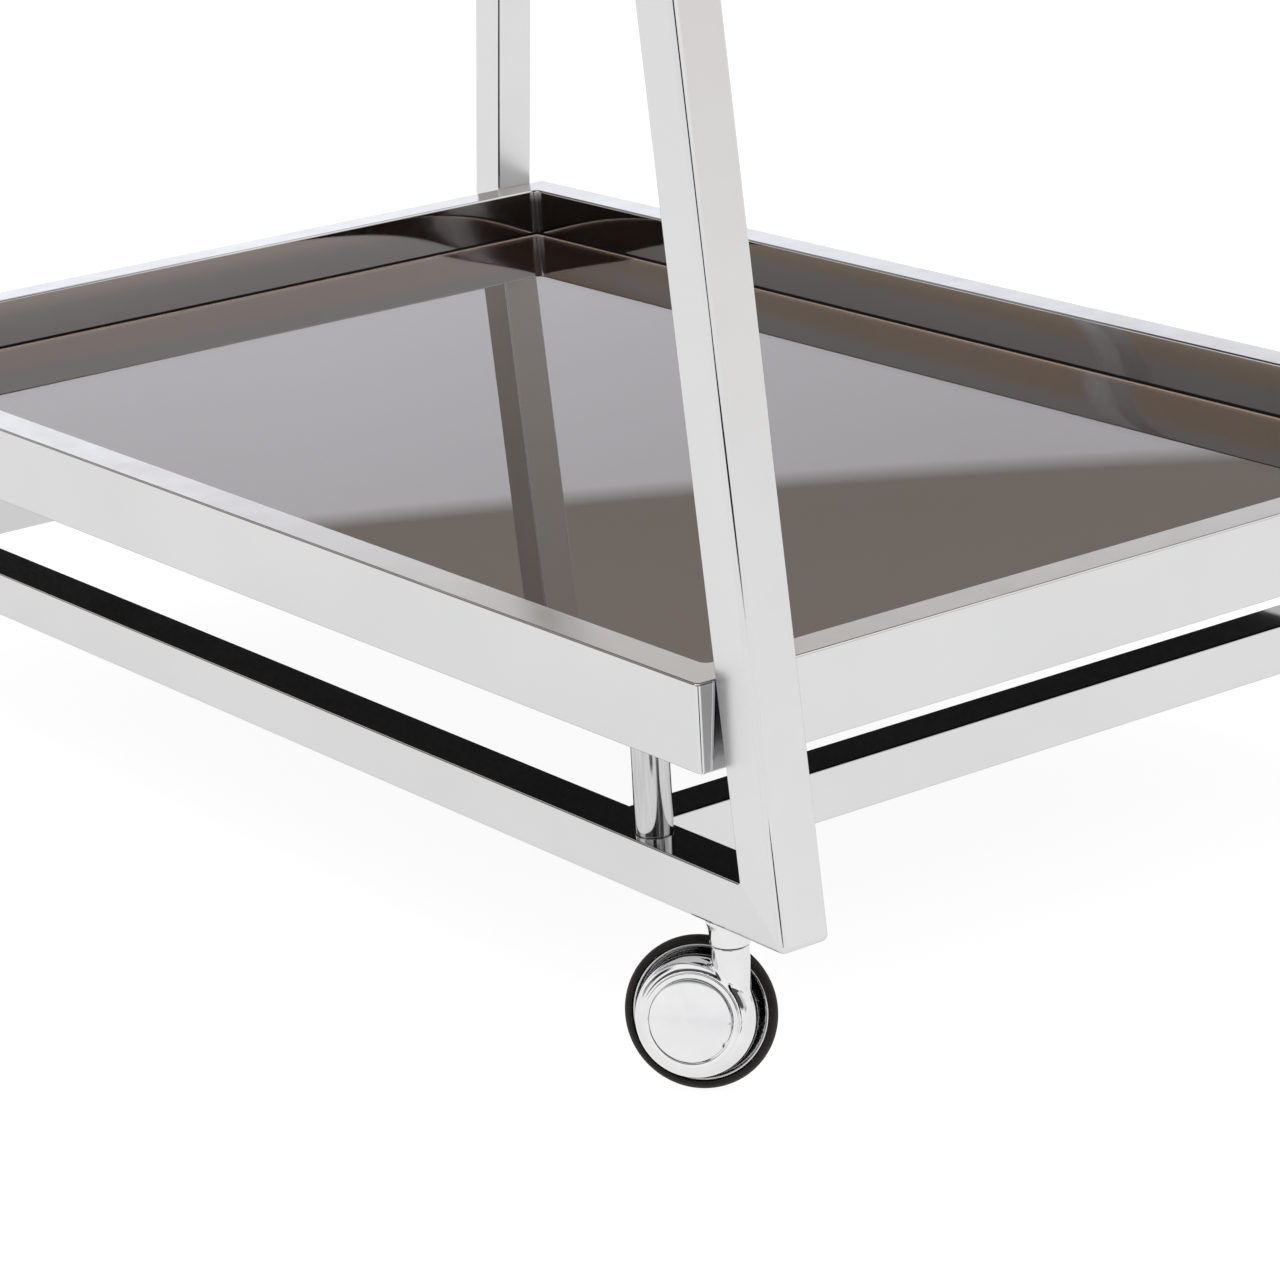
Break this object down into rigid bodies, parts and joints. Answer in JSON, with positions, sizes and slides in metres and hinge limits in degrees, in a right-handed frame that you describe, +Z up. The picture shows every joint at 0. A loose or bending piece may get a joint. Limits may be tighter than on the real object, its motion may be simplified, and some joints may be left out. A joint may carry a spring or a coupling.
{
  "type": "spa trolley cart",
  "caption": "Two-tier polished steel serving trolley with inward-leaning legs, end handles, recessed smoked-glass trays and hooded swivel casters.",
  "frame": {"origin": "middle of the trolley's footprint, on the floor under the casters", "axes": "+Z up, +X along the long side towards the right-hand handle, -Y towards the front"},
  "size_m": [0.9438, 0.5722, 0.8],
  "materials": {
    "polished_steel": "mirror-polished stainless steel, seams ground flush",
    "smoked_glass": "smoked mirror glass, polished edges",
    "black_panel": "black-lacquered board",
    "caster_chrome": "bright chrome plate",
    "wheel_chrome": "bright chrome plate on a pressed steel wheel",
    "axle_steel": "turned steel",
    "tyre_rubber": "black rubber, matt"
  },
  "bodies": {
    "frame": {"leg_front_right": "polished_steel", "leg_front_left": "polished_steel", "leg_back_right": "polished_steel", "leg_back_left": "polished_steel", "handle_right": "polished_steel", "handle_left": "polished_steel", "lower_side_rail_front": "polished_steel", "lower_side_rail_back": "polished_steel", "lower_cross_rail_right": "polished_steel", "lower_cross_rail_left": "polished_steel", "lower_post_front_right": "polished_steel", "lower_post_front_left": "polished_steel", "lower_post_back_right": "polished_steel", "lower_post_back_left": "polished_steel", "lower_rim_front": "polished_steel", "lower_rim_back": "polished_steel", "lower_rim_right": "polished_steel", "lower_rim_left": "polished_steel", "lower_base_panel": "black_panel", "lower_glass": "smoked_glass", "upper_side_rail_front": "polished_steel", "upper_side_rail_back": "polished_steel", "upper_cross_rail_right": "polished_steel", "upper_cross_rail_left": "polished_steel", "upper_post_front_right": "polished_steel", "upper_post_front_left": "polished_steel", "upper_post_back_right": "polished_steel", "upper_post_back_left": "polished_steel", "upper_rim_front": "polished_steel", "upper_rim_back": "polished_steel", "upper_rim_right": "polished_steel", "upper_rim_left": "polished_steel", "upper_base_panel": "black_panel", "upper_glass": "smoked_glass", "socket_front_right": "caster_chrome", "socket_front_left": "caster_chrome", "socket_back_right": "caster_chrome", "socket_back_left": "caster_chrome"},
    "swivel_front_right": {"hood_front_right": "caster_chrome", "axle_front_right": "axle_steel", "cap_front_right": "caster_chrome"},
    "wheel_front_right": {"wheel_front_right": "wheel_chrome", "tyre_front_right": "tyre_rubber"},
    "swivel_front_left": {"hood_front_left": "caster_chrome", "axle_front_left": "axle_steel", "cap_front_left": "caster_chrome"},
    "wheel_front_left": {"wheel_front_left": "wheel_chrome", "tyre_front_left": "tyre_rubber"},
    "swivel_back_right": {"hood_back_right": "caster_chrome", "axle_back_right": "axle_steel", "cap_back_right": "caster_chrome"},
    "wheel_back_right": {"wheel_back_right": "wheel_chrome", "tyre_back_right": "tyre_rubber"},
    "swivel_back_left": {"hood_back_left": "caster_chrome", "axle_back_left": "axle_steel", "cap_back_left": "caster_chrome"},
    "wheel_back_left": {"wheel_back_left": "wheel_chrome", "tyre_back_left": "tyre_rubber"}
  },
  "joints": [
    {"name": "swivel_front_right", "type": "hinge", "parent": "frame", "child": "swivel_front_right", "pos_m": [0.4195, -0.2516, 0.0688], "axis": [0, 0, 1], "continuous": true},
    {"name": "spin_front_right", "type": "hinge", "parent": "swivel_front_right", "child": "wheel_front_right", "pos_m": [0.40206, -0.25597, 0.03327], "axis": [0.6366, -0.7454, 0.1977], "continuous": true},
    {"name": "swivel_front_left", "type": "hinge", "parent": "frame", "child": "swivel_front_left", "pos_m": [-0.4195, -0.2516, 0.0688], "axis": [0, 0, 1], "continuous": true},
    {"name": "spin_front_left", "type": "hinge", "parent": "swivel_front_left", "child": "wheel_front_left", "pos_m": [-0.43694, -0.25597, 0.03327], "axis": [0.6366, -0.7454, 0.1977], "continuous": true},
    {"name": "swivel_back_right", "type": "hinge", "parent": "frame", "child": "swivel_back_right", "pos_m": [0.4195, 0.2516, 0.0688], "axis": [0, 0, 1], "continuous": true},
    {"name": "spin_back_right", "type": "hinge", "parent": "swivel_back_right", "child": "wheel_back_right", "pos_m": [0.43694, 0.25597, 0.03327], "axis": [-0.6366, 0.7454, 0.1977], "continuous": true},
    {"name": "swivel_back_left", "type": "hinge", "parent": "frame", "child": "swivel_back_left", "pos_m": [-0.4195, 0.2516, 0.0688], "axis": [0, 0, 1], "continuous": true},
    {"name": "spin_back_left", "type": "hinge", "parent": "swivel_back_left", "child": "wheel_back_left", "pos_m": [-0.40206, 0.25597, 0.03327], "axis": [-0.6366, 0.7454, 0.1977], "continuous": true}
  ]
}
